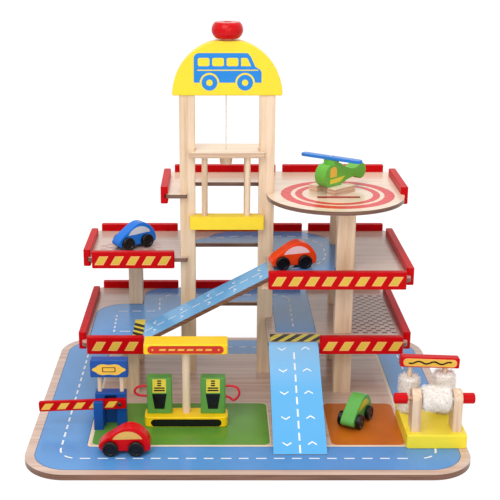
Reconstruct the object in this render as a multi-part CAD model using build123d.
from build123d import *
import math
import os

# Wooden toy parking garage with a lift: a printed baseboard, three plywood parking decks, two
# ramps, a two-post lift tower, a petrol station, a ticket booth with a barrier, a car wash, four
# small cars and a helicopter.
# Millimetres.  The origin is the centre of the baseboard's underside, +Z is up, -Y is the front
# (the side that the cars drive in from) and +X is the right-hand side seen from there.

# ---------------------------------------------------------------- driving dimensions

# clearances
CONTACT_GAP = 0.1           # between glued wooden faces that only touch
RUNNING_GAP = 0.06          # round a pin or spindle that turns, on the radius
SLIDE_GAP = 0.6             # between the cage plates and the tower posts
REST_GAP = 0.2              # under a wheel or skid that stands on a deck

# baseboard
BOARD_LENGTH = 600
BOARD_DEPTH = 480
BOARD_THICKNESS = 8
BOARD_CORNER = 60

# parking decks
DECK_THICKNESS = 6
FIRST_LEVEL = 101           # top of the first deck
LEVEL_PITCH = 100           # from one deck top to the next
DECK_HALF_WIDTH = 240
DECK_FRONT = -16.5
DECK_BACK = 236
DECK_CORNER = 10
BACK_STRIP_DEPTH = 75       # strip that joins both wings behind the lift shaft
FIRST_LEFT_WING_RIGHT = -137
THIRD_LEFT_WING_LEFT = -120

# lift tower
TOWER_X = -26
TOWER_FRONT = 91
POST_WIDTH = 23
POST_DEPTH = 20
SHAFT_WIDTH = 96            # clear distance between the two posts
TOWER_HEIGHT = 449          # underside of the arch
DECK_LAP = 11               # how far a deck reaches past a post's outer face
TOWER_LIP = 9               # strip of deck in front of the posts
NOTCH_RELIEF_RADIUS = 1.7

# arch, knob and winding spindle
ARCH_RADIUS = 81
ARCH_THICKNESS = 26
ARCH_FLAT_HALF = 16.5
ARCH_EDGE_ROUND = 2
SPINDLE_DIAMETER = 10
CHAMBER_DIAMETER = 20
CHAMBER_DEPTH = 32
SPINDLE_COLLAR_DIAMETER = 17
SPINDLE_COLLAR_HEIGHT = 2.5
KNOB_DIAMETER = 46
KNOB_HEIGHT = 23.5
KNOB_TOP_DIAMETER = 36
KNOB_BOTTOM_DIAMETER = 32
KNOB_RECESS_DIAMETER = 13
KNOB_RECESS_DEPTH = 3

# lift cage, where it stands in its resting pose
CAGE_WIDTH = 112
CAGE_FRONT = 78
CAGE_DEPTH = 70
CAGE_TOP_THICKNESS = 8
CAGE_TOP = 365.5
CAGE_FLOOR_THICKNESS = 6
CAGE_BAR_HEIGHT = 20
CAGE_BAR_DEPTH = 21
CAGE_BAR_BOTTOM = 247.3
CAGE_BAR_TONGUE = 5
CAGE_DOWEL_DIAMETER = 8.6
CAGE_DOWEL_HALF_SPACING = 32.3
CAGE_DOWEL_OFFSET = -1.5    # the dowels stand a little left of the tower's middle
CAGE_DOWEL_SEAT = 4
CORD_DIAMETER = 1.5
CORD_HOLE_DIAMETER = 3
CORD_SIDE_OFFSET = 1.5      # the cord hangs off the back of the spindle, a little to the left
BEAD_DIAMETER = 21
BEAD_BOTTOM_DIAMETER = 17.5
BEAD_HEIGHT = 14

# support posts, placed by the middle of their width and by their front face
SUPPORT_WIDTH = 27
SUPPORT_DEPTH = 20
REAR_SUPPORT_WIDTH = 22.5
SUPPORT_ROUND = 2.5
RIGHT_SUPPORT_X = 148
LEFT_SUPPORT_X = -172
REAR_RIGHT_SUPPORT_X = 150.5
REAR_LEFT_SUPPORT_X = -171.5
LOWER_FRONT_SUPPORT_Y = 13
UPPER_FRONT_SUPPORT_Y = 22
LOWER_REAR_SUPPORT_Y = 143
UPPER_REAR_SUPPORT_Y = 153

# red guard rails
RAIL_HEIGHT = 26.2
RAIL_ABOVE_DECK = 11.4
RAIL_THICKNESS = 11
RAIL_GROOVE_DEPTH = 5
RAIL_END_ROUND = 3
RAIL_EDGE_ROUND = 1.2
RAIL_CORNER_GAP = 14.5
SHORT_RAIL_CORNER_GAP = 6
RAIL_BACK_GAP = 26
FRONT_RAIL_INSET = 8
RAIL_JOINT_GAP = 11

# ramps
RAMP_WIDTH = 72.5
RAMP_THICKNESS = 6
RAMP_NOSE = 1               # blunt front edge of a ramp's foot
LOWER_RAMP_LEFT = 35
LOWER_RAMP_FOOT_Y = -185.5
RAMP_SEAT_DEPTH = 4.5       # how far the first deck is cut back for the lower ramp's head
UPPER_RAMP_FRONT = -9
UPPER_RAMP_FOOT_X = -151
LEDGE_HEIGHT = 12
LEDGE_REACH = 10
LEDGE_HOLD = 14

# petrol station
PETROL_X = -84.7
PETROL_BASE_LENGTH = 118
PETROL_BASE_FRONT = -102
PETROL_BASE_DEPTH = 32
PETROL_BASE_HEIGHT = 15.2
PUMP_WIDTH = 35.5
PUMP_DEPTH = 16
PUMP_HEIGHT = 55
PUMP_FRONT = -90
PUMP_OFFSET = 38
PETROL_POST_DIAMETER = 11.8
PETROL_POST_Y = -84
CANOPY_LENGTH = 117.5
CANOPY_DEPTH = 34
CANOPY_HEIGHT = 15
CANOPY_BOTTOM = 118
HOSE_DIAMETER = 3.4
HOSE_Y = -82

# ticket booth and barrier
BOOTH_X = -191
BOOTH_WIDTH = 44
BOOTH_FRONT = -98.5
BOOTH_DEPTH = 16
BOOTH_HEIGHT = 51
DOORWAY_WIDTH = 17
DOORWAY_DEPTH = 12
LINTEL_HEIGHT = 3.5
BOOTH_SIGN_WIDTH = 53
BOOTH_SIGN_DEPTH = 16
BOOTH_SIGN_HEIGHT = 26
BOOTH_SIGN_BOTTOM = 82.5
BOOTH_DOWEL_DIAMETER = 6.2
BOOTH_DOWEL_HALF_SPACING = 15.5
UPRIGHT_WIDTH = 13.4
UPRIGHT_THICKNESS = 6.4
UPRIGHT_HEIGHT = 42.4
UPRIGHT_LEFT = -214.2
BARRIER_LENGTH = 123.3
BARRIER_HEIGHT = 14.8
BARRIER_THICKNESS = 5.5
BARRIER_GAP = 0.4           # beside the barrier, to the booth and to the upright
BARRIER_PIVOT_X = -178.5
BARRIER_PIVOT_Z = 44.8
BARRIER_PIVOT_FROM_END = 9.8
BARRIER_TILT = 2.3
PIVOT_SCREW_DIAMETER = 3.4
PIVOT_HEAD_DIAMETER = 6.4
PIVOT_HEAD_HEIGHT = 2

# car wash
WASH_LEFT = 217
WASH_WIDTH = 82
WASH_FRONT = -168
WASH_DEPTH = 104
WASH_HEIGHT = 20
WASH_POST_THICKNESS = 12
WASH_POST_DEPTH = 27
WASH_POST_FRONT = -158
WASH_POST_LEFT_X = 230
WASH_POST_RIGHT_X = 286
AXLE_HEIGHT = 72.5
AXLE_DIAMETER = 6
ROLLER_KNOB_DIAMETER = 15
ROLLER_KNOB_LENGTH = 18
ROLLER_KNOB_SEAT = 12
LEFT_KNOB_GAP = 5.6
RIGHT_KNOB_GAP = 0.4
ROLLER_FLEECE_DIAMETER = 36
ROLLER_FLEECE_LENGTH = 39
BRUSH_Y = -90
BRUSH_LEFT_X = 230.3
BRUSH_RIGHT_X = 279.3
BRUSH_DOWEL_DIAMETER = 6.5
LEFT_FLEECE_DIAMETER = 31
LEFT_FLEECE_HEIGHT = 53
RIGHT_FLEECE_DIAMETER = 34
RIGHT_FLEECE_HEIGHT = 59
WASH_SIGN_LENGTH = 83
WASH_SIGN_DEPTH = 13.5
WASH_SIGN_HEIGHT = 15.2
WASH_SIGN_X = 257
WASH_SIGN_Z = 104.1
WASH_SIGN_TILT = 2.1
SIGN_DOWEL_SEAT = 5

# cars
CAR_LENGTH = 71
CAR_THICKNESS = 20
CAR_ROOF = 40               # above the ground that the wheels stand on
CAR_SILL = 5
CAR_EDGE_ROUND = 1.6
WHEEL_DIAMETER = 21
WHEEL_THICKNESS = 6.5
WHEEL_GAP = 0.5
FRONT_AXLE = 16.6           # from the nose
REAR_AXLE = 51
CAR_AXLE_DIAMETER = 4
CARS = {                    # axle midpoint x, y, level (0 = baseboard) and heading from +X
    "red_car": (-166.9, -175.5, 0, 180),
    "green_car": (157, -85.5, 0, 241),
    "blue_car": (-173, 142, 2, 216),
    "orange_car": (69.5, 39.5, 2, 194),
}

# helicopter
HELI_X = 134
HELI_Y = 105
HELI_HEADING = 224          # the way that its nose points
HELI_THICKNESS = 20
HELI_CABIN_HEIGHT = 33.5
HELI_NOSE = 30              # from the middle of the skids
HELI_TAIL = 68
NOSE_ROUND = 11
BOOM_LOW = 8                # underside and top of the boom, above the cabin's underside
BOOM_HIGH = 21
TAIL_FIN_DIAMETER = 25
TAIL_FIN_Z = 14.5
SKID_LENGTH = 48
SKID_SPREAD = 51
SKID_WIDTH = 15.5
SKID_THICKNESS = 10
SKID_BRIDGE_LENGTH = 20
MAST_WIDTH = 14
MAST_HEIGHT = 6
MAST_FORWARD = 4            # ahead of the middle of the skids
ROTOR_LENGTH = 104
ROTOR_WIDTH = 13.5
ROTOR_THICKNESS = 4.6
ROTOR_TURN = 143.5          # of the blade's long axis from +X
ROTOR_PIN_DIAMETER = 3.4
ROTOR_PIN_HEAD_DIAMETER = 6
ROTOR_PIN_DEPTH = 14

# ---------------------------------------------------------------- derived places

LEVEL_TOPS = [BOARD_THICKNESS] + [FIRST_LEVEL + LEVEL_PITCH * n for n in range(3)]
SHAFT_BACK = DECK_BACK - BACK_STRIP_DEPTH
POST_INNER_LEFT = TOWER_X - SHAFT_WIDTH / 2
POST_INNER_RIGHT = TOWER_X + SHAFT_WIDTH / 2
POST_OUTER_LEFT = POST_INNER_LEFT - POST_WIDTH
POST_OUTER_RIGHT = POST_INNER_RIGHT + POST_WIDTH
TOWER_BACK = TOWER_FRONT + POST_DEPTH
TOWER_MID_Y = TOWER_FRONT + POST_DEPTH / 2
DECK_INNER_LEFT = POST_OUTER_LEFT + DECK_LAP
DECK_INNER_RIGHT = POST_OUTER_RIGHT - DECK_LAP
WING_FRONT = TOWER_FRONT - TOWER_LIP
HELIPAD_RADIUS = (DECK_HALF_WIDTH - DECK_INNER_RIGHT) / 2
HELIPAD_X = (DECK_HALF_WIDTH + DECK_INNER_RIGHT) / 2
HELIPAD_Y = DECK_FRONT + HELIPAD_RADIUS
CORD_RADIUS = (SPINDLE_DIAMETER + CORD_DIAMETER) / 2
CORD_X = TOWER_X - CORD_SIDE_OFFSET
CORD_Y = TOWER_MID_Y + math.sqrt(CORD_RADIUS ** 2 - CORD_SIDE_OFFSET ** 2)


# ---------------------------------------------------------------- small helpers

def block(x0, x1, y0, y1, z0, z1):
    """A box between two corners."""
    return Pos((x0 + x1) / 2, (y0 + y1) / 2, (z0 + z1) / 2) * Box(x1 - x0, y1 - y0, z1 - z0)


def rod(diameter, x, y, z0, z1):
    """An upright cylinder from z0 to z1."""
    return Pos(x, y, (z0 + z1) / 2) * Cylinder(diameter / 2, z1 - z0)


def edges_near(solid, axis, points):
    """The edges along an axis that pass through the given places in the plane square to it."""
    found = []
    for edge in solid.edges().filter_by(axis):
        middle = edge.center()
        place = {Axis.X: (middle.Y, middle.Z), Axis.Y: (middle.X, middle.Z),
                 Axis.Z: (middle.X, middle.Y)}[axis]
        if any(math.dist(place, point) < 0.05 for point in points):
            found.append(edge)
    return found


def soft_block(x0, x1, y0, y1, z0, z1, upright_round, rim_round):
    """A wooden block with rounded upright edges and a lightly sanded top and bottom rim."""
    body = block(x0, x1, y0, y1, z0, z1)
    body = fillet(body.edges().filter_by(Axis.Z), upright_round)
    rims = body.faces().filter_by(Axis.Z).edges()
    return fillet(rims, rim_round)


def write(name, *solids):
    """Write one node as a STEP file."""
    shape = solids[0] if len(solids) == 1 else Compound(children=list(solids))
    shape.label = name
    export_step(shape, f"parts/{name}.step")


# ---------------------------------------------------------------- baseboard and decks

def make_baseboard():
    board = block(-BOARD_LENGTH / 2, BOARD_LENGTH / 2, -BOARD_DEPTH / 2, BOARD_DEPTH / 2,
                  0, BOARD_THICKNESS)
    return fillet(board.edges().filter_by(Axis.Z), BOARD_CORNER)


def cut_tower_notches(deck, z0, z1):
    """Open the notches that grip the two tower posts, with a drilled relief in the rear corner."""
    for outer, inner in ((POST_OUTER_LEFT, DECK_INNER_LEFT), (POST_OUTER_RIGHT, DECK_INNER_RIGHT)):
        side = math.copysign(1, inner - outer)
        left, right = sorted((outer - side * CONTACT_GAP, inner + side))
        deck -= block(left, right, TOWER_FRONT - CONTACT_GAP, TOWER_BACK + CONTACT_GAP, z0 - 1, z1 + 1)
        deck -= rod(2 * NOTCH_RELIEF_RADIUS, outer, TOWER_BACK, z0 - 1, z1 + 1)
    return deck


def make_deck(level, left_parts, right_front, helipad=False, ramp_seat=False):
    """A parking deck: the left wing's rectangles, the strip behind the shaft and the right wing."""
    top = LEVEL_TOPS[level]
    low = top - DECK_THICKNESS
    deck = block(DECK_INNER_LEFT, DECK_INNER_RIGHT, SHAFT_BACK, DECK_BACK, low, top)
    for x0, x1, y0, y1 in left_parts:
        deck += block(x0, x1, y0, y1, low, top)
    deck += block(DECK_INNER_RIGHT, DECK_HALF_WIDTH, right_front, DECK_BACK, low, top)
    corners = [(left_parts[0][0], DECK_BACK), (DECK_HALF_WIDTH, DECK_BACK),
               (left_parts[-1][0], left_parts[-1][2])]
    if helipad:
        deck += rod(2 * HELIPAD_RADIUS, HELIPAD_X, HELIPAD_Y, low, top)
    else:
        corners.append((DECK_HALF_WIDTH, right_front))
    if ramp_seat:
        seat_right = LOWER_RAMP_LEFT + RAMP_WIDTH + 1
        deck -= block(DECK_INNER_RIGHT - 1, seat_right, DECK_FRONT - 1,
                      DECK_FRONT + RAMP_SEAT_DEPTH, low - 1, top + 1)
    deck = fillet(edges_near(deck, Axis.Z, corners), DECK_CORNER)
    inner_corners = [(DECK_INNER_LEFT, WING_FRONT)]
    deck = fillet(edges_near(deck, Axis.Z, inner_corners), TOWER_LIP / 3)
    return cut_tower_notches(deck, low, top)


def make_decks():
    wide = -DECK_HALF_WIDTH
    first_wing = [(wide, DECK_INNER_LEFT, WING_FRONT, DECK_BACK),
                  (wide, FIRST_LEFT_WING_RIGHT, DECK_FRONT, WING_FRONT)]
    second_wing = [(wide, DECK_INNER_LEFT, WING_FRONT, DECK_BACK)]
    third_wing = [(THIRD_LEFT_WING_LEFT, DECK_INNER_LEFT, WING_FRONT, DECK_BACK)]
    first = make_deck(1, first_wing, DECK_FRONT, ramp_seat=True)
    second = make_deck(2, second_wing, DECK_FRONT)
    third = make_deck(3, third_wing, HELIPAD_Y, helipad=True)
    return first, second, third


# ---------------------------------------------------------------- posts

def support_post(x, front, level, width):
    """One support post between two decks."""
    z0 = LEVEL_TOPS[level]
    z1 = LEVEL_TOPS[level + 1] - DECK_THICKNESS
    return soft_block(x - width / 2, x + width / 2, front, front + SUPPORT_DEPTH, z0, z1,
                      SUPPORT_ROUND, SUPPORT_ROUND / 3)


def make_support_posts():
    left, right = LEFT_SUPPORT_X, RIGHT_SUPPORT_X
    rear_left, rear_right = REAR_LEFT_SUPPORT_X, REAR_RIGHT_SUPPORT_X
    lower = [support_post(left, LOWER_FRONT_SUPPORT_Y, 0, SUPPORT_WIDTH),
             support_post(right, LOWER_FRONT_SUPPORT_Y, 0, SUPPORT_WIDTH),
             support_post(rear_left, LOWER_REAR_SUPPORT_Y, 0, REAR_SUPPORT_WIDTH),
             support_post(rear_right, LOWER_REAR_SUPPORT_Y, 0, REAR_SUPPORT_WIDTH)]
    middle = [support_post(right, UPPER_FRONT_SUPPORT_Y, 1, SUPPORT_WIDTH),
              support_post(rear_left, UPPER_REAR_SUPPORT_Y, 1, REAR_SUPPORT_WIDTH),
              support_post(rear_right, UPPER_REAR_SUPPORT_Y, 1, REAR_SUPPORT_WIDTH)]
    upper = [support_post(right, UPPER_FRONT_SUPPORT_Y, 2, SUPPORT_WIDTH),
             support_post(rear_right, UPPER_REAR_SUPPORT_Y, 2, REAR_SUPPORT_WIDTH)]
    return lower, middle, upper


def make_tower_posts():
    posts = []
    for inner, outer in ((POST_INNER_LEFT, POST_OUTER_LEFT), (POST_INNER_RIGHT, POST_OUTER_RIGHT)):
        left, right = sorted((inner, outer))
        post = block(left, right, TOWER_FRONT, TOWER_BACK, BOARD_THICKNESS, TOWER_HEIGHT)
        posts.append(fillet(post.edges().filter_by(Axis.Z), 1))
    return posts


# ---------------------------------------------------------------- guard rails

def make_rail(start, end, deck_edge, side, level):
    """A rail on one edge of a deck.  side names the edge: front, back, left or right.

    It is built along +X with its outer face at y = 0 and grips the deck in a groove.
    """
    length = end - start
    bottom = RAIL_ABOVE_DECK - RAIL_HEIGHT
    rail = block(0, length, 0, RAIL_THICKNESS, bottom, RAIL_ABOVE_DECK)
    rail = fillet(rail.edges().filter_by(Axis.Z), RAIL_END_ROUND)
    rims = rail.faces().filter_by(Axis.Z).edges()
    rail = fillet(rims, RAIL_EDGE_ROUND)
    rail -= block(-1, length + 1, RAIL_THICKNESS - RAIL_GROOVE_DEPTH - CONTACT_GAP,
                  RAIL_THICKNESS + 1, -DECK_THICKNESS - CONTACT_GAP, CONTACT_GAP)
    outward = RAIL_THICKNESS - RAIL_GROOVE_DEPTH
    top = LEVEL_TOPS[level]
    if side == "front":
        return Pos(start, deck_edge - outward, top) * rail
    if side == "back":
        return Pos(end, deck_edge + outward, top) * Rot(0, 0, 180) * rail
    if side == "left":
        return Pos(deck_edge - outward, end, top) * Rot(0, 0, -90) * rail
    return Pos(deck_edge + outward, start, top) * Rot(0, 0, 90) * rail


def make_front_rails():
    left = -DECK_HALF_WIDTH + FRONT_RAIL_INSET
    right = DECK_HALF_WIDTH - FRONT_RAIL_INSET
    first = [make_rail(left, FIRST_LEFT_WING_RIGHT - RAIL_JOINT_GAP, DECK_FRONT, "front", 1),
             make_rail(LOWER_RAMP_LEFT + RAMP_WIDTH + 2, right, DECK_FRONT, "front", 1)]
    second = [make_rail(left, DECK_INNER_LEFT - 20, WING_FRONT, "front", 2),
              make_rail(DECK_INNER_RIGHT - 1, right, DECK_FRONT, "front", 2)]
    return first, second


def make_plain_rails():
    """The side and back rails, level by level."""
    edge = DECK_HALF_WIDTH
    long_start = DECK_FRONT + RAIL_CORNER_GAP
    short_start = WING_FRONT + SHORT_RAIL_CORNER_GAP
    side_end = DECK_BACK - RAIL_BACK_GAP
    left = -edge + FRONT_RAIL_INSET
    right = edge - FRONT_RAIL_INSET + 2
    backs = [(left, left + 126), (left + 137, right - 134), (right - 124, right)]
    first = [make_rail(long_start, side_end, -edge, "left", 1),
             make_rail(long_start, side_end, edge, "right", 1)]
    second = [make_rail(short_start, side_end, -edge, "left", 2),
              make_rail(long_start, side_end, edge, "right", 2)]
    third = [make_rail(short_start - 3, side_end, THIRD_LEFT_WING_LEFT, "left", 3),
             make_rail(short_start - 6, side_end, edge, "right", 3)]
    for start, end in backs:
        first.append(make_rail(start, end, DECK_BACK, "back", 1))
        second.append(make_rail(start, end, DECK_BACK, "back", 2))
    third_start = THIRD_LEFT_WING_LEFT + DECK_CORNER
    half = (right - 4 - third_start - RAIL_JOINT_GAP) / 2
    third.append(make_rail(third_start, third_start + half, DECK_BACK, "back", 3))
    third.append(make_rail(right - 4 - half, right - 4, DECK_BACK, "back", 3))
    return first, second, third


# ---------------------------------------------------------------- ramps

def ramp_profile(run, rise):
    """Side view of a ramp: foot at the origin on its floor, head at (run, rise), cut upright."""
    slope = math.atan2(rise - RAMP_NOSE, run)
    drop = RAMP_THICKNESS / math.cos(slope)
    floor_end = (drop - RAMP_NOSE) / math.tan(slope)
    return Polyline((0, 0), (floor_end, 0), (run, rise - drop), (run, rise), (0, RAMP_NOSE),
                    close=True)


def ledge_profile(run, rise):
    """Side view of the batten under the deck that carries a ramp's head, bevelled to its slope."""
    slope = math.atan2(rise - RAMP_NOSE, run)
    under = rise - RAMP_THICKNESS / math.cos(slope) - CONTACT_GAP
    deck_under = rise - DECK_THICKNESS
    bottom = deck_under - LEDGE_HEIGHT
    return Polyline((run - LEDGE_REACH, bottom), (run + LEDGE_HOLD, bottom),
                    (run + LEDGE_HOLD, deck_under), (run, deck_under), (run, under),
                    (run - LEDGE_REACH, under - LEDGE_REACH * math.tan(slope)), close=True)


def lower_ramp_place():
    """The lower ramp climbs along +Y, and its profile plane faces +X."""
    return Plane(origin=(LOWER_RAMP_LEFT, LOWER_RAMP_FOOT_Y, BOARD_THICKNESS),
                 x_dir=(0, 1, 0), z_dir=(1, 0, 0))


def upper_ramp_place():
    """The upper ramp climbs along +X, and its profile plane faces -Y."""
    return Plane(origin=(UPPER_RAMP_FOOT_X, UPPER_RAMP_FRONT + RAMP_WIDTH, LEVEL_TOPS[1]),
                 x_dir=(1, 0, 0), z_dir=(0, -1, 0))


def make_ramps():
    lower_run = DECK_FRONT + RAMP_SEAT_DEPTH - CONTACT_GAP - LOWER_RAMP_FOOT_Y
    lower_rise = FIRST_LEVEL - BOARD_THICKNESS
    upper_run = DECK_INNER_RIGHT - CONTACT_GAP - UPPER_RAMP_FOOT_X
    pieces = []
    for place, run, rise in ((lower_ramp_place(), lower_run, lower_rise),
                             (upper_ramp_place(), upper_run, LEVEL_PITCH)):
        for profile in (ramp_profile(run, rise), ledge_profile(run, rise)):
            pieces.append(extrude(place * make_face(profile), RAMP_WIDTH))
    return pieces


# ---------------------------------------------------------------- arch, knob and cord

def make_arch():
    """Half-round head of the tower with a flat for the knob, a spindle bore and a winding chamber."""
    flat_z = math.sqrt(ARCH_RADIUS ** 2 - ARCH_FLAT_HALF ** 2)
    right_flat = (ARCH_FLAT_HALF, flat_z)
    left_flat = (-ARCH_FLAT_HALF, flat_z)
    shoulder = ARCH_RADIUS * math.sqrt(0.5)
    outline = Curve() + [
        Line((-ARCH_RADIUS, 0), (ARCH_RADIUS, 0)),
        ThreePointArc((ARCH_RADIUS, 0), (shoulder, shoulder), right_flat),
        Line(right_flat, left_flat),
        ThreePointArc(left_flat, (-shoulder, shoulder), (-ARCH_RADIUS, 0)),
    ]
    face_plane = Plane(origin=(TOWER_X, TOWER_MID_Y + ARCH_THICKNESS / 2, TOWER_HEIGHT),
                       x_dir=(1, 0, 0), z_dir=(0, -1, 0))
    face = make_face(outline)
    face = fillet(face.vertices(), ARCH_EDGE_ROUND)
    arch = extrude(face_plane * face, ARCH_THICKNESS)
    arch = fillet(arch.faces().filter_by(Axis.Y).edges(), ARCH_EDGE_ROUND)
    arch -= rod(SPINDLE_DIAMETER + 2 * RUNNING_GAP, TOWER_X, TOWER_MID_Y,
                TOWER_HEIGHT, TOWER_HEIGHT + ARCH_RADIUS)
    arch -= rod(CHAMBER_DIAMETER, TOWER_X, TOWER_MID_Y, TOWER_HEIGHT - 1,
                TOWER_HEIGHT + CHAMBER_DEPTH)
    return arch, TOWER_HEIGHT + flat_z


def make_knob_and_spindle(arch_top):
    knob_low = arch_top + SPINDLE_COLLAR_HEIGHT
    knob_top = knob_low + KNOB_HEIGHT
    recess = KNOB_RECESS_DIAMETER / 2
    section = Curve() + [
        Line((0, 0), (KNOB_BOTTOM_DIAMETER / 2, 0)),
        ThreePointArc((KNOB_BOTTOM_DIAMETER / 2, 0), (KNOB_DIAMETER / 2, KNOB_HEIGHT * 0.5),
                      (KNOB_TOP_DIAMETER / 2, KNOB_HEIGHT)),
        Line((KNOB_TOP_DIAMETER / 2, KNOB_HEIGHT), (recess, KNOB_HEIGHT)),
        Line((recess, KNOB_HEIGHT), (recess, KNOB_HEIGHT - KNOB_RECESS_DEPTH)),
        Line((recess, KNOB_HEIGHT - KNOB_RECESS_DEPTH), (0, KNOB_HEIGHT - KNOB_RECESS_DEPTH)),
        Line((0, KNOB_HEIGHT - KNOB_RECESS_DEPTH), (0, 0)),
    ]
    spin_plane = Plane(origin=(TOWER_X, TOWER_MID_Y, knob_low), x_dir=(1, 0, 0), z_dir=(0, -1, 0))
    knob = revolve(spin_plane * make_face(section), Axis((TOWER_X, TOWER_MID_Y, 0), (0, 0, 1)), 360)
    seat_top = knob_top - KNOB_RECESS_DEPTH - 4
    knob -= rod(SPINDLE_DIAMETER, TOWER_X, TOWER_MID_Y, knob_low - 1, seat_top)
    spindle = rod(SPINDLE_DIAMETER, TOWER_X, TOWER_MID_Y, TOWER_HEIGHT + 8, seat_top)
    spindle += rod(SPINDLE_COLLAR_DIAMETER, TOWER_X, TOWER_MID_Y, arch_top + CONTACT_GAP, knob_low)
    return knob, spindle


def make_cord_and_bead():
    plate_under = CAGE_TOP - CAGE_TOP_THICKNESS
    cord = rod(CORD_DIAMETER, CORD_X, CORD_Y, plate_under - BEAD_HEIGHT / 2, TOWER_HEIGHT + 17)
    bead_top = plate_under - CONTACT_GAP
    bead = Pos(CORD_X, CORD_Y, bead_top - BEAD_HEIGHT / 2) * Cone(
        BEAD_BOTTOM_DIAMETER / 2, BEAD_DIAMETER / 2, BEAD_HEIGHT)
    bead = fillet(bead.edges(), 1)
    bead -= rod(CORD_DIAMETER, CORD_X, CORD_Y, plate_under - BEAD_HEIGHT / 2, plate_under + 1)
    return cord, bead


# ---------------------------------------------------------------- lift cage

def cut_post_notches(plate, front, z0, z1):
    """Open a cage plate round both posts, with a drilled relief in each rear corner."""
    back = TOWER_BACK + SLIDE_GAP
    for inner, side in ((POST_INNER_LEFT, -1), (POST_INNER_RIGHT, 1)):
        edge = inner - side * SLIDE_GAP
        outside = TOWER_X + side * (CAGE_WIDTH / 2 + 1)
        left, right = sorted((edge, outside))
        plate -= block(left, right, TOWER_FRONT - SLIDE_GAP, back, z0 - 1, z1 + 1)
        if front + CAGE_BAR_DEPTH + 1 < back < front + CAGE_DEPTH:
            plate -= rod(2 * NOTCH_RELIEF_RADIUS, edge, back, z0 - 1, z1 + 1)
    return plate


def dowel_places():
    """Front dowels stand on the yellow bar, rear dowels on the floor plate."""
    front = CAGE_FRONT + 9
    rear = CAGE_FRONT + CAGE_DEPTH - 10
    middle = TOWER_X + CAGE_DOWEL_OFFSET
    return [(middle + side * CAGE_DOWEL_HALF_SPACING, y) for y in (front, rear) for side in (-1, 1)]


def make_cage():
    left = TOWER_X - CAGE_WIDTH / 2
    right = TOWER_X + CAGE_WIDTH / 2
    back = CAGE_FRONT + CAGE_DEPTH
    plate_low = CAGE_TOP - CAGE_TOP_THICKNESS
    bar_top = CAGE_BAR_BOTTOM + CAGE_BAR_HEIGHT
    floor_top = CAGE_BAR_BOTTOM + CAGE_FLOOR_THICKNESS
    bar_back = CAGE_FRONT + CAGE_BAR_DEPTH

    plate = block(left, right, CAGE_FRONT, back, plate_low, CAGE_TOP)
    plate = fillet(plate.edges().filter_by(Axis.Z), 2)
    plate = cut_post_notches(plate, CAGE_FRONT, plate_low, CAGE_TOP)
    plate -= rod(CORD_HOLE_DIAMETER, CORD_X, CORD_Y, plate_low - 1, CAGE_TOP + 1)

    bar = block(left, right, CAGE_FRONT, bar_back, CAGE_BAR_BOTTOM, bar_top)
    bar = fillet(edges_near(bar, Axis.Z, [(left, CAGE_FRONT), (right, CAGE_FRONT)]), 1.5)
    bar = cut_post_notches(bar, CAGE_FRONT, CAGE_BAR_BOTTOM, bar_top)

    floor = block(left, right, bar_back, back, CAGE_BAR_BOTTOM, floor_top)
    floor = fillet(edges_near(floor, Axis.Z, [(left, back), (right, back)]), 2)
    floor = cut_post_notches(floor, CAGE_FRONT, CAGE_BAR_BOTTOM, floor_top)
    tongue_half = SHAFT_WIDTH / 2 - 8
    tongue = block(TOWER_X - tongue_half, TOWER_X + tongue_half, bar_back - CAGE_BAR_TONGUE,
                   bar_back, CAGE_BAR_BOTTOM + 2, floor_top - 1)
    floor += tongue
    bar -= tongue

    dowels = []
    for x, y in dowel_places():
        low = floor_top - CAGE_DOWEL_SEAT
        if y < bar_back:
            low = bar_top - CAGE_DOWEL_SEAT
            bar -= rod(CAGE_DOWEL_DIAMETER, x, y, low, bar_top + 1)
        else:
            floor -= rod(CAGE_DOWEL_DIAMETER, x, y, low, floor_top + 1)
        high = plate_low + CAGE_DOWEL_SEAT
        plate -= rod(CAGE_DOWEL_DIAMETER, x, y, plate_low - 1, high)
        dowels.append(rod(CAGE_DOWEL_DIAMETER, x, y, low, high))
    return plate, bar, floor, dowels


# ---------------------------------------------------------------- petrol station

def make_petrol_station():
    base_left = PETROL_X - PETROL_BASE_LENGTH / 2
    base_top = BOARD_THICKNESS + PETROL_BASE_HEIGHT
    base = soft_block(base_left, base_left + PETROL_BASE_LENGTH, PETROL_BASE_FRONT,
                      PETROL_BASE_FRONT + PETROL_BASE_DEPTH, BOARD_THICKNESS, base_top, 7, 1.5)
    canopy_left = PETROL_X - CANOPY_LENGTH / 2
    canopy_front = PETROL_POST_Y - CANOPY_DEPTH / 2
    canopy = soft_block(canopy_left, canopy_left + CANOPY_LENGTH, canopy_front,
                        canopy_front + CANOPY_DEPTH, CANOPY_BOTTOM, CANOPY_BOTTOM + CANOPY_HEIGHT,
                        3, 2)
    post_low = base_top - 6
    post_high = CANOPY_BOTTOM + 7
    post = rod(PETROL_POST_DIAMETER, PETROL_X, PETROL_POST_Y, post_low, post_high)
    base -= rod(PETROL_POST_DIAMETER, PETROL_X, PETROL_POST_Y, post_low, base_top + 1)
    canopy -= rod(PETROL_POST_DIAMETER, PETROL_X, PETROL_POST_Y, CANOPY_BOTTOM - 1, post_high)
    pumps = []
    for side in (-1, 1):
        middle = PETROL_X + side * PUMP_OFFSET
        pumps.append(soft_block(middle - PUMP_WIDTH / 2, middle + PUMP_WIDTH / 2, PUMP_FRONT,
                                PUMP_FRONT + PUMP_DEPTH, base_top, base_top + PUMP_HEIGHT, 2.5, 1))
    return base, canopy, post, pumps


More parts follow.
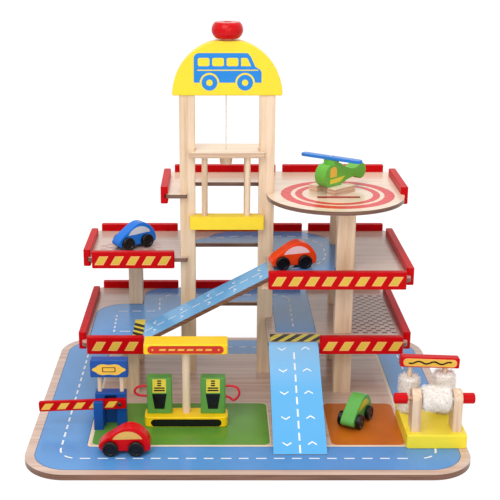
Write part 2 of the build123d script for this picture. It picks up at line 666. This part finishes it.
def hose_path(name, points):
    """Straight runs joined by the largest arcs that the runs leave room for."""
    radii = []
    for before, corner, after in zip(points, points[1:], points[2:]):
        arriving = Vector(*corner) - Vector(*before)
        leaving = Vector(*after) - Vector(*corner)
        half_turn = math.radians(arriving.get_angle(leaving)) / 2
        radii.append(0.45 * min(arriving.length, leaving.length) / math.tan(half_turn))
    print(name, "radii in diameters:", [round(radius / HOSE_DIAMETER, 2) for radius in radii])
    return FilletPolyline(*points, radius=radii)


def make_hose(name, points):
    path = hose_path(name, points)
    section = Plane(origin=path @ 0, z_dir=path % 0) * Circle(HOSE_DIAMETER / 2)
    hose = sweep(section, path=path)
    expected = math.pi * (HOSE_DIAMETER / 2) ** 2 * path.length
    print(name, "length", round(path.length, 1), "volume ratio", round(hose.volume / expected, 4))
    return hose


def make_hoses():
    """Each hose leaves the outer side of its pump and comes back to it lower down."""
    left_face = PETROL_X - PUMP_OFFSET - PUMP_WIDTH / 2
    right_face = PETROL_X + PUMP_OFFSET + PUMP_WIDTH / 2
    y = HOSE_Y
    left = [(left_face, y, 62.8), (left_face - 6, y, 62.8), (left_face - 14, y - 0.8, 61.6),
            (left_face - 18.8, y - 1.2, 55.6), (left_face - 15, y - 0.8, 49.3),
            (left_face - 7, y, 47.4), (left_face, y, 47.4)]
    right = [(right_face, y, 62.8), (right_face + 7, y, 62.8), (right_face + 16.4, y - 0.6, 61.2),
             (right_face + 20.6, y - 1, 53.4), (right_face + 17.6, y - 1, 44.6),
             (right_face + 10.4, y - 0.8, 39.6), (right_face + 5.6, y, 46.2),
             (right_face, y, 46.2)]
    return make_hose("left hose", left), make_hose("right hose", right)


# ---------------------------------------------------------------- ticket booth

def make_booth():
    left = BOOTH_X - BOOTH_WIDTH / 2
    right = BOOTH_X + BOOTH_WIDTH / 2
    back = BOOTH_FRONT + BOOTH_DEPTH
    top = BOARD_THICKNESS + BOOTH_HEIGHT
    dowel_y = BOOTH_FRONT + BOOTH_DEPTH / 2
    body = soft_block(left, right, BOOTH_FRONT, back, BOARD_THICKNESS, top, 1.5, 1)
    doorway = block(BOOTH_X - DOORWAY_WIDTH / 2, BOOTH_X + DOORWAY_WIDTH / 2, BOOTH_FRONT - 1,
                    BOOTH_FRONT + DOORWAY_DEPTH, BOARD_THICKNESS - 1, top - LINTEL_HEIGHT)
    body -= doorway
    sign_left = BOOTH_X - 1.4 - BOOTH_SIGN_WIDTH / 2
    sign = soft_block(sign_left, sign_left + BOOTH_SIGN_WIDTH, dowel_y - BOOTH_SIGN_DEPTH / 2,
                      dowel_y + BOOTH_SIGN_DEPTH / 2, BOOTH_SIGN_BOTTOM,
                      BOOTH_SIGN_BOTTOM + BOOTH_SIGN_HEIGHT, 2, 1.5)
    dowels = []
    for side in (-1, 1):
        x = BOOTH_X + side * BOOTH_DOWEL_HALF_SPACING
        body -= rod(BOOTH_DOWEL_DIAMETER, x, dowel_y, top - 5, top + 1)
        sign -= rod(BOOTH_DOWEL_DIAMETER, x, dowel_y, BOOTH_SIGN_BOTTOM - 1, BOOTH_SIGN_BOTTOM + 6)
        dowels.append(rod(BOOTH_DOWEL_DIAMETER, x, dowel_y, top - 5, BOOTH_SIGN_BOTTOM + 6))
    return body, sign, dowels


def make_barrier(body):
    """The barrier arm turns on a screw in the booth, behind a slim upright."""
    arm_back = BOOTH_FRONT - BARRIER_GAP
    arm_front = arm_back - BARRIER_THICKNESS
    axis_y = (arm_front + arm_back) / 2
    reach = BARRIER_LENGTH - BARRIER_PIVOT_FROM_END
    arm = block(-reach, BARRIER_PIVOT_FROM_END, -BARRIER_THICKNESS / 2, BARRIER_THICKNESS / 2,
                -BARRIER_HEIGHT / 2, BARRIER_HEIGHT / 2)
    arm = fillet(arm.edges().filter_by(Axis.Y), 2.5)
    arm = fillet(arm.faces().filter_by(Axis.Y).edges(), 0.8)
    place = Pos(BARRIER_PIVOT_X, axis_y, BARRIER_PIVOT_Z)
    along_y = Rot(90, 0, 0)
    arm -= along_y * Cylinder(PIVOT_SCREW_DIAMETER / 2 + RUNNING_GAP, BARRIER_THICKNESS + 2)
    arm = place * Rot(0, -BARRIER_TILT, 0) * arm
    screw_depth = 9
    shank_front = arm_front - 0.3
    shank_length = arm_back + BARRIER_GAP + screw_depth - shank_front
    shank = Pos(BARRIER_PIVOT_X, shank_front + shank_length / 2, BARRIER_PIVOT_Z) * along_y * Cylinder(
        PIVOT_SCREW_DIAMETER / 2, shank_length)
    head = Pos(BARRIER_PIVOT_X, shank_front - PIVOT_HEAD_HEIGHT / 2, BARRIER_PIVOT_Z) * along_y * Cylinder(
        PIVOT_HEAD_DIAMETER / 2, PIVOT_HEAD_HEIGHT)
    rim = head.edges().filter_by(GeomType.CIRCLE).sort_by(Axis.Y)[0]
    screw = shank + fillet(rim, PIVOT_HEAD_HEIGHT * 0.6)
    body -= shank
    upright_back = arm_front - BARRIER_GAP
    upright = block(UPRIGHT_LEFT, UPRIGHT_LEFT + UPRIGHT_WIDTH, upright_back - UPRIGHT_THICKNESS,
                    upright_back, BOARD_THICKNESS, BOARD_THICKNESS + UPRIGHT_HEIGHT)
    upright = fillet(upright.edges().filter_by(Axis.Z), 1.2)
    upright = fillet(upright.faces().sort_by(Axis.Z)[-1].edges(), 1)
    return arm, screw, upright, body


# ---------------------------------------------------------------- car wash

def make_wash_frame():
    base_top = BOARD_THICKNESS + WASH_HEIGHT
    base = soft_block(WASH_LEFT, WASH_LEFT + WASH_WIDTH, WASH_FRONT, WASH_FRONT + WASH_DEPTH,
                      BOARD_THICKNESS, base_top, 3, 1.5)
    post_mid_y = WASH_POST_FRONT + WASH_POST_DEPTH / 2
    round_top = WASH_POST_DEPTH / 2
    posts = []
    for x in (WASH_POST_LEFT_X, WASH_POST_RIGHT_X):
        half = WASH_POST_THICKNESS / 2
        post = block(x - half, x + half, WASH_POST_FRONT, WASH_POST_FRONT + WASH_POST_DEPTH,
                     base_top, AXLE_HEIGHT)
        post += Pos(x, post_mid_y, AXLE_HEIGHT) * Rot(0, 90, 0) * Cylinder(
            round_top, WASH_POST_THICKNESS)
        post -= Pos(x, post_mid_y, AXLE_HEIGHT) * Rot(0, 90, 0) * Cylinder(
            AXLE_DIAMETER / 2 + RUNNING_GAP, WASH_POST_THICKNESS + 2)
        posts.append(post)
    return base, posts


def along_x(diameter, x0, x1, y, z):
    """A cylinder that lies along X."""
    return Pos((x0 + x1) / 2, y, z) * Rot(0, 90, 0) * Cylinder(diameter / 2, x1 - x0)


def make_roller():
    y = WASH_POST_FRONT + WASH_POST_DEPTH / 2
    half = WASH_POST_THICKNESS / 2
    left_knob_end = WASH_POST_LEFT_X - half - LEFT_KNOB_GAP
    right_knob_start = WASH_POST_RIGHT_X + half + RIGHT_KNOB_GAP
    axle_left = left_knob_end - ROLLER_KNOB_SEAT
    axle_right = right_knob_start + ROLLER_KNOB_SEAT
    axle = along_x(AXLE_DIAMETER, axle_left, axle_right, y, AXLE_HEIGHT)
    knobs = []
    for x0, outer_end in ((left_knob_end - ROLLER_KNOB_LENGTH, Axis.X), (right_knob_start, -Axis.X)):
        knob = along_x(ROLLER_KNOB_DIAMETER, x0, x0 + ROLLER_KNOB_LENGTH, y, AXLE_HEIGHT)
        rims = knob.edges().filter_by(GeomType.CIRCLE).sort_by(outer_end)
        knob = fillet(rims[0], 2)
        knob = fillet(knob.edges().filter_by(GeomType.CIRCLE).sort_by(outer_end)[-1], 1)
        knob -= along_x(AXLE_DIAMETER, axle_left, axle_right, y, AXLE_HEIGHT)
        knobs.append(knob)
    middle = (WASH_POST_LEFT_X + WASH_POST_RIGHT_X) / 2
    fleece = along_x(ROLLER_FLEECE_DIAMETER, middle - ROLLER_FLEECE_LENGTH / 2,
                     middle + ROLLER_FLEECE_LENGTH / 2, y, AXLE_HEIGHT)
    fleece = fillet(fleece.edges().filter_by(GeomType.CIRCLE), ROLLER_FLEECE_DIAMETER / 4)
    fleece -= along_x(AXLE_DIAMETER, axle_left, axle_right, y, AXLE_HEIGHT)
    return axle, knobs, fleece


def make_brushes(base):
    """Two upright dowels carry the sign, and a fleece sleeve turns on each."""
    base_top = BOARD_THICKNESS + WASH_HEIGHT
    sign = block(-WASH_SIGN_LENGTH / 2, WASH_SIGN_LENGTH / 2, -WASH_SIGN_DEPTH / 2,
                 WASH_SIGN_DEPTH / 2, -WASH_SIGN_HEIGHT / 2, WASH_SIGN_HEIGHT / 2)
    sign = fillet(sign.edges().filter_by(Axis.Y), 2)
    sign = fillet(sign.faces().filter_by(Axis.Y).edges(), 1.5)
    sign = Pos(WASH_SIGN_X, BRUSH_Y, WASH_SIGN_Z) * Rot(0, WASH_SIGN_TILT, 0) * sign
    dowels = []
    fleeces = []
    for x, diameter, height in ((BRUSH_LEFT_X, LEFT_FLEECE_DIAMETER, LEFT_FLEECE_HEIGHT),
                                (BRUSH_RIGHT_X, RIGHT_FLEECE_DIAMETER, RIGHT_FLEECE_HEIGHT)):
        underside = (WASH_SIGN_Z - WASH_SIGN_HEIGHT / 2 / math.cos(math.radians(WASH_SIGN_TILT))
                     - (x - WASH_SIGN_X) * math.tan(math.radians(WASH_SIGN_TILT)))
        high = underside + SIGN_DOWEL_SEAT
        low = base_top - SIGN_DOWEL_SEAT
        base -= rod(BRUSH_DOWEL_DIAMETER, x, BRUSH_Y, low, base_top + 1)
        sign -= rod(BRUSH_DOWEL_DIAMETER, x, BRUSH_Y, low, high)
        dowels.append(rod(BRUSH_DOWEL_DIAMETER, x, BRUSH_Y, low, high))
        sleeve = rod(diameter, x, BRUSH_Y, base_top + 0.3, base_top + 0.3 + height)
        sleeve = fillet(sleeve.edges().filter_by(GeomType.CIRCLE), diameter / 5)
        sleeve -= rod(BRUSH_DOWEL_DIAMETER + 2 * RUNNING_GAP, x, BRUSH_Y, base_top,
                      base_top + height + 1)
        fleeces.append(sleeve)
    return base, sign, dowels, fleeces


# ---------------------------------------------------------------- cars

def car_outline():
    """Side view of the car, nose at x = 0, standing on z = 0."""
    roof = CAR_ROOF
    tail = CAR_LENGTH
    return Curve() + [
        Spline((2.2, 7.5), (0.4, 12), (4.8, 18.8), (15.5, 26.6), (28, 34.6), (42, roof),
               (55.5, 36.4), (65.5, 26.8), (tail - 0.8, 15), (tail - 1.6, 7)),
        Line((tail - 1.6, 7), (tail - 5, CAR_SILL)),
        Line((tail - 5, CAR_SILL), (5.5, CAR_SILL)),
        Line((5.5, CAR_SILL), (2.2, 7.5)),
    ]


def make_wheel():
    """A black wheel with a rounded tread and a dished outer face round a small hub."""
    radius = WHEEL_DIAMETER / 2
    edge = 1.2
    bore = CAR_AXLE_DIAMETER / 2
    section = Curve() + [
        Line((bore, 0), (radius - edge, 0)),
        ThreePointArc((radius - edge, 0), (radius - edge * 0.3, edge * 0.3), (radius, edge)),
        Line((radius, edge), (radius, WHEEL_THICKNESS - edge)),
        ThreePointArc((radius, WHEEL_THICKNESS - edge),
                      (radius - edge * 0.3, WHEEL_THICKNESS - edge * 0.3),
                      (radius - edge, WHEEL_THICKNESS)),
        Line((radius - edge, WHEEL_THICKNESS), (radius - 3, WHEEL_THICKNESS)),
        Line((radius - 3, WHEEL_THICKNESS), (radius - 3.8, WHEEL_THICKNESS - 1)),
        Line((radius - 3.8, WHEEL_THICKNESS - 1), (bore + 1.8, WHEEL_THICKNESS - 1)),
        Line((bore + 1.8, WHEEL_THICKNESS - 1), (bore + 1.4, WHEEL_THICKNESS)),
        Line((bore + 1.4, WHEEL_THICKNESS), (bore, WHEEL_THICKNESS)),
        Line((bore, WHEEL_THICKNESS), (bore, 0)),
    ]
    return revolve(make_face(section), Axis.Y, 360)


def make_wheel_set(axle_x):
    """An axle with a wheel pressed on each end, across the car at axle_x."""
    inner = CAR_THICKNESS / 2 + WHEEL_GAP
    height = WHEEL_DIAMETER / 2
    outer = inner + WHEEL_THICKNESS
    axle = Pos(axle_x, 0, height) * Rot(90, 0, 0) * Cylinder(CAR_AXLE_DIAMETER / 2, 2 * outer)
    left = Pos(axle_x, inner, height) * make_wheel()
    right = Pos(axle_x, -inner, height) * Rot(0, 0, 180) * make_wheel()
    return [axle, left, right]


def make_car(name):
    """Body, front wheel set and rear wheel set in their places."""
    x, y, level, heading = CARS[name]
    side_plane = Plane(origin=(0, CAR_THICKNESS / 2, 0), x_dir=(1, 0, 0), z_dir=(0, -1, 0))
    body = extrude(side_plane * make_face(car_outline()), CAR_THICKNESS)
    body = fillet(body.faces().filter_by(Axis.Y).edges(), CAR_EDGE_ROUND)
    for axle_x in (FRONT_AXLE, REAR_AXLE):
        body -= Pos(axle_x, 0, WHEEL_DIAMETER / 2) * Rot(90, 0, 0) * Cylinder(
            CAR_AXLE_DIAMETER / 2 + RUNNING_GAP, CAR_THICKNESS + 2)
    middle = (FRONT_AXLE + REAR_AXLE) / 2
    place = (Pos(x, y, LEVEL_TOPS[level] + REST_GAP) * Rot(0, 0, heading - 180) * Pos(-middle, 0, 0))
    front = [place * solid for solid in make_wheel_set(FRONT_AXLE)]
    rear = [place * solid for solid in make_wheel_set(REAR_AXLE)]
    return place * body, front, rear


# ---------------------------------------------------------------- helicopter

def helicopter_side():
    """Side view: nose at x = 0, round-nosed cabin, mast stub, slim boom and a round tail fin."""
    tail = HELI_NOSE + HELI_TAIL
    cabin = HELI_CABIN_HEIGHT
    fin = TAIL_FIN_DIAMETER / 2
    fin_x = tail - fin
    mast = HELI_NOSE - MAST_WIDTH / 2 - MAST_FORWARD
    mast_end = mast + MAST_WIDTH
    top = cabin + MAST_HEIGHT
    under = TAIL_FIN_Z - fin
    outline = Curve() + [
        Line((NOSE_ROUND, 0), (mast_end + 6, 0)),
        ThreePointArc((mast_end + 6, 0), (mast_end + 19, 5), (fin_x - fin, BOOM_LOW)),
        Line((fin_x - fin, BOOM_LOW), (fin_x - 6, under + 2)),
        ThreePointArc((fin_x - 6, under + 2), (tail, TAIL_FIN_Z), (fin_x, TAIL_FIN_Z + fin)),
        Line((fin_x, TAIL_FIN_Z + fin), (fin_x - 14, BOOM_HIGH)),
        ThreePointArc((fin_x - 14, BOOM_HIGH), (mast_end + 20, BOOM_HIGH + 4), (mast_end + 5, cabin)),
        Line((mast_end + 5, cabin), (mast_end, cabin)),
        Line((mast_end, cabin), (mast_end - 1, top)),
        Line((mast_end - 1, top), (mast + 1, top)),
        Line((mast + 1, top), (mast, cabin)),
        Line((mast, cabin), (NOSE_ROUND, cabin)),
        ThreePointArc((NOSE_ROUND, cabin), (0, cabin * 0.45), (NOSE_ROUND, 0)),
    ]
    return make_face(outline)


def make_helicopter():
    floor = LEVEL_TOPS[3] + REST_GAP
    place = Pos(HELI_X, HELI_Y, floor) * Rot(0, 0, HELI_HEADING - 180)
    side = Plane(origin=(-HELI_NOSE, HELI_THICKNESS / 2, SKID_THICKNESS), x_dir=(1, 0, 0),
                 z_dir=(0, -1, 0))
    body = extrude(side * helicopter_side(), HELI_THICKNESS)
    body = place * fillet(body.faces().filter_by(Axis.Y).edges(), 1)
    mast_top = SKID_THICKNESS + HELI_CABIN_HEIGHT + MAST_HEIGHT
    pin_low = mast_top - ROTOR_PIN_DEPTH
    mast_x = -MAST_FORWARD
    body -= place * rod(ROTOR_PIN_DIAMETER, mast_x, 0, pin_low, mast_top + 1)

    skids = block(-SKID_LENGTH / 2, SKID_LENGTH / 2, -SKID_SPREAD / 2, SKID_SPREAD / 2,
                  0, SKID_THICKNESS)
    gap = SKID_SPREAD / 2 - SKID_WIDTH
    bridge = SKID_BRIDGE_LENGTH / 2
    for end in (-1, 1):
        x0, x1 = sorted((end * bridge, end * (SKID_LENGTH / 2 + 1)))
        skids -= block(x0, x1, -gap, gap, -1, SKID_THICKNESS + 1)
    skids = fillet(skids.edges().filter_by(Axis.Z), 1)

    blade_low = mast_top + CONTACT_GAP
    blade_high = blade_low + ROTOR_THICKNESS
    blade = SlotOverall(ROTOR_LENGTH, ROTOR_WIDTH)
    rotor = extrude(Pos(0, 0, blade_low) * blade, ROTOR_THICKNESS)
    rotor = fillet(rotor.faces().filter_by(Axis.Z).edges(), 1)
    rotor -= rod(ROTOR_PIN_DIAMETER + 2 * RUNNING_GAP, 0, 0, blade_low - 1, blade_high + 1)
    rotor = place * Pos(mast_x, 0, 0) * Rot(0, 0, ROTOR_TURN - HELI_HEADING) * rotor

    head_low = blade_high + CONTACT_GAP
    pin = rod(ROTOR_PIN_DIAMETER, mast_x, 0, pin_low, head_low)
    pin += rod(ROTOR_PIN_HEAD_DIAMETER, mast_x, 0, head_low, head_low + 1.4)
    return body, place * skids, rotor, place * pin


# ---------------------------------------------------------------- whole model

def main():
    os.makedirs("parts", exist_ok=True)
    write("baseboard", make_baseboard())
    for level, deck in enumerate(make_decks(), start=1):
        write(f"deck_level_{level}", deck)
    write("tower_posts", *make_tower_posts())
    lower, middle, upper = make_support_posts()
    write("support_posts", *lower, *middle, *upper)
    for level, rails in enumerate(make_front_rails(), start=1):
        write(f"front_rails_level_{level}", *rails)
    for level, rails in enumerate(make_plain_rails(), start=1):
        write(f"plain_rails_level_{level}", *rails)

    lower_ramp, lower_ledge, upper_ramp, upper_ledge = make_ramps()
    write("lower_ramp", lower_ramp)
    write("upper_ramp", upper_ramp)
    write("ramp_ledges", lower_ledge, upper_ledge)

    arch, arch_top = make_arch()
    knob, spindle = make_knob_and_spindle(arch_top)
    cord, bead = make_cord_and_bead()
    write("arch_block", arch)
    write("lift_knob", knob)
    write("winding_spindle", spindle)
    write("lift_cord", cord)
    write("cord_bead", bead)
    plate, bar, floor, dowels = make_cage()
    write("cage_top_plate", plate)
    write("cage_front_bar", bar)
    write("cage_floor", floor)
    write("cage_dowels", *dowels)

    petrol_base, canopy, petrol_post, pumps = make_petrol_station()
    left_hose, right_hose = make_hoses()
    write("petrol_base", petrol_base)
    write("petrol_canopy", canopy)
    write("petrol_post", petrol_post)
    write("petrol_pumps", *pumps)
    write("pump_hose_left", left_hose)
    write("pump_hose_right", right_hose)

    booth, booth_sign, booth_dowels = make_booth()
    arm, pivot_screw, upright, booth = make_barrier(booth)
    write("booth_body", booth)
    write("booth_sign", booth_sign)
    write("booth_dowels", *booth_dowels)
    write("booth_upright", upright)
    write("barrier_arm", arm)
    write("barrier_screw", pivot_screw)

    wash_base, wash_posts = make_wash_frame()
    axle, roller_knobs, roller_fleece = make_roller()
    wash_base, wash_sign, brush_dowels, sleeves = make_brushes(wash_base)
    write("wash_base", wash_base)
    write("wash_posts", *wash_posts)
    write("roller_axle", axle)
    write("roller_knobs", *roller_knobs)
    write("roller_fleece", roller_fleece)
    write("brush_dowels", *brush_dowels)
    write("brush_fleece_left", sleeves[0])
    write("brush_fleece_right", sleeves[1])
    write("wash_sign", wash_sign)

    for name in CARS:
        body, front, rear = make_car(name)
        write(f"{name}_body", body)
        write(f"{name}_front_wheels", *front)
        write(f"{name}_rear_wheels", *rear)

    heli_body, skids, rotor, pin = make_helicopter()
    write("helicopter_body", heli_body)
    write("helicopter_skids", skids)
    write("rotor_blade", rotor)
    write("rotor_pin", pin)


main()
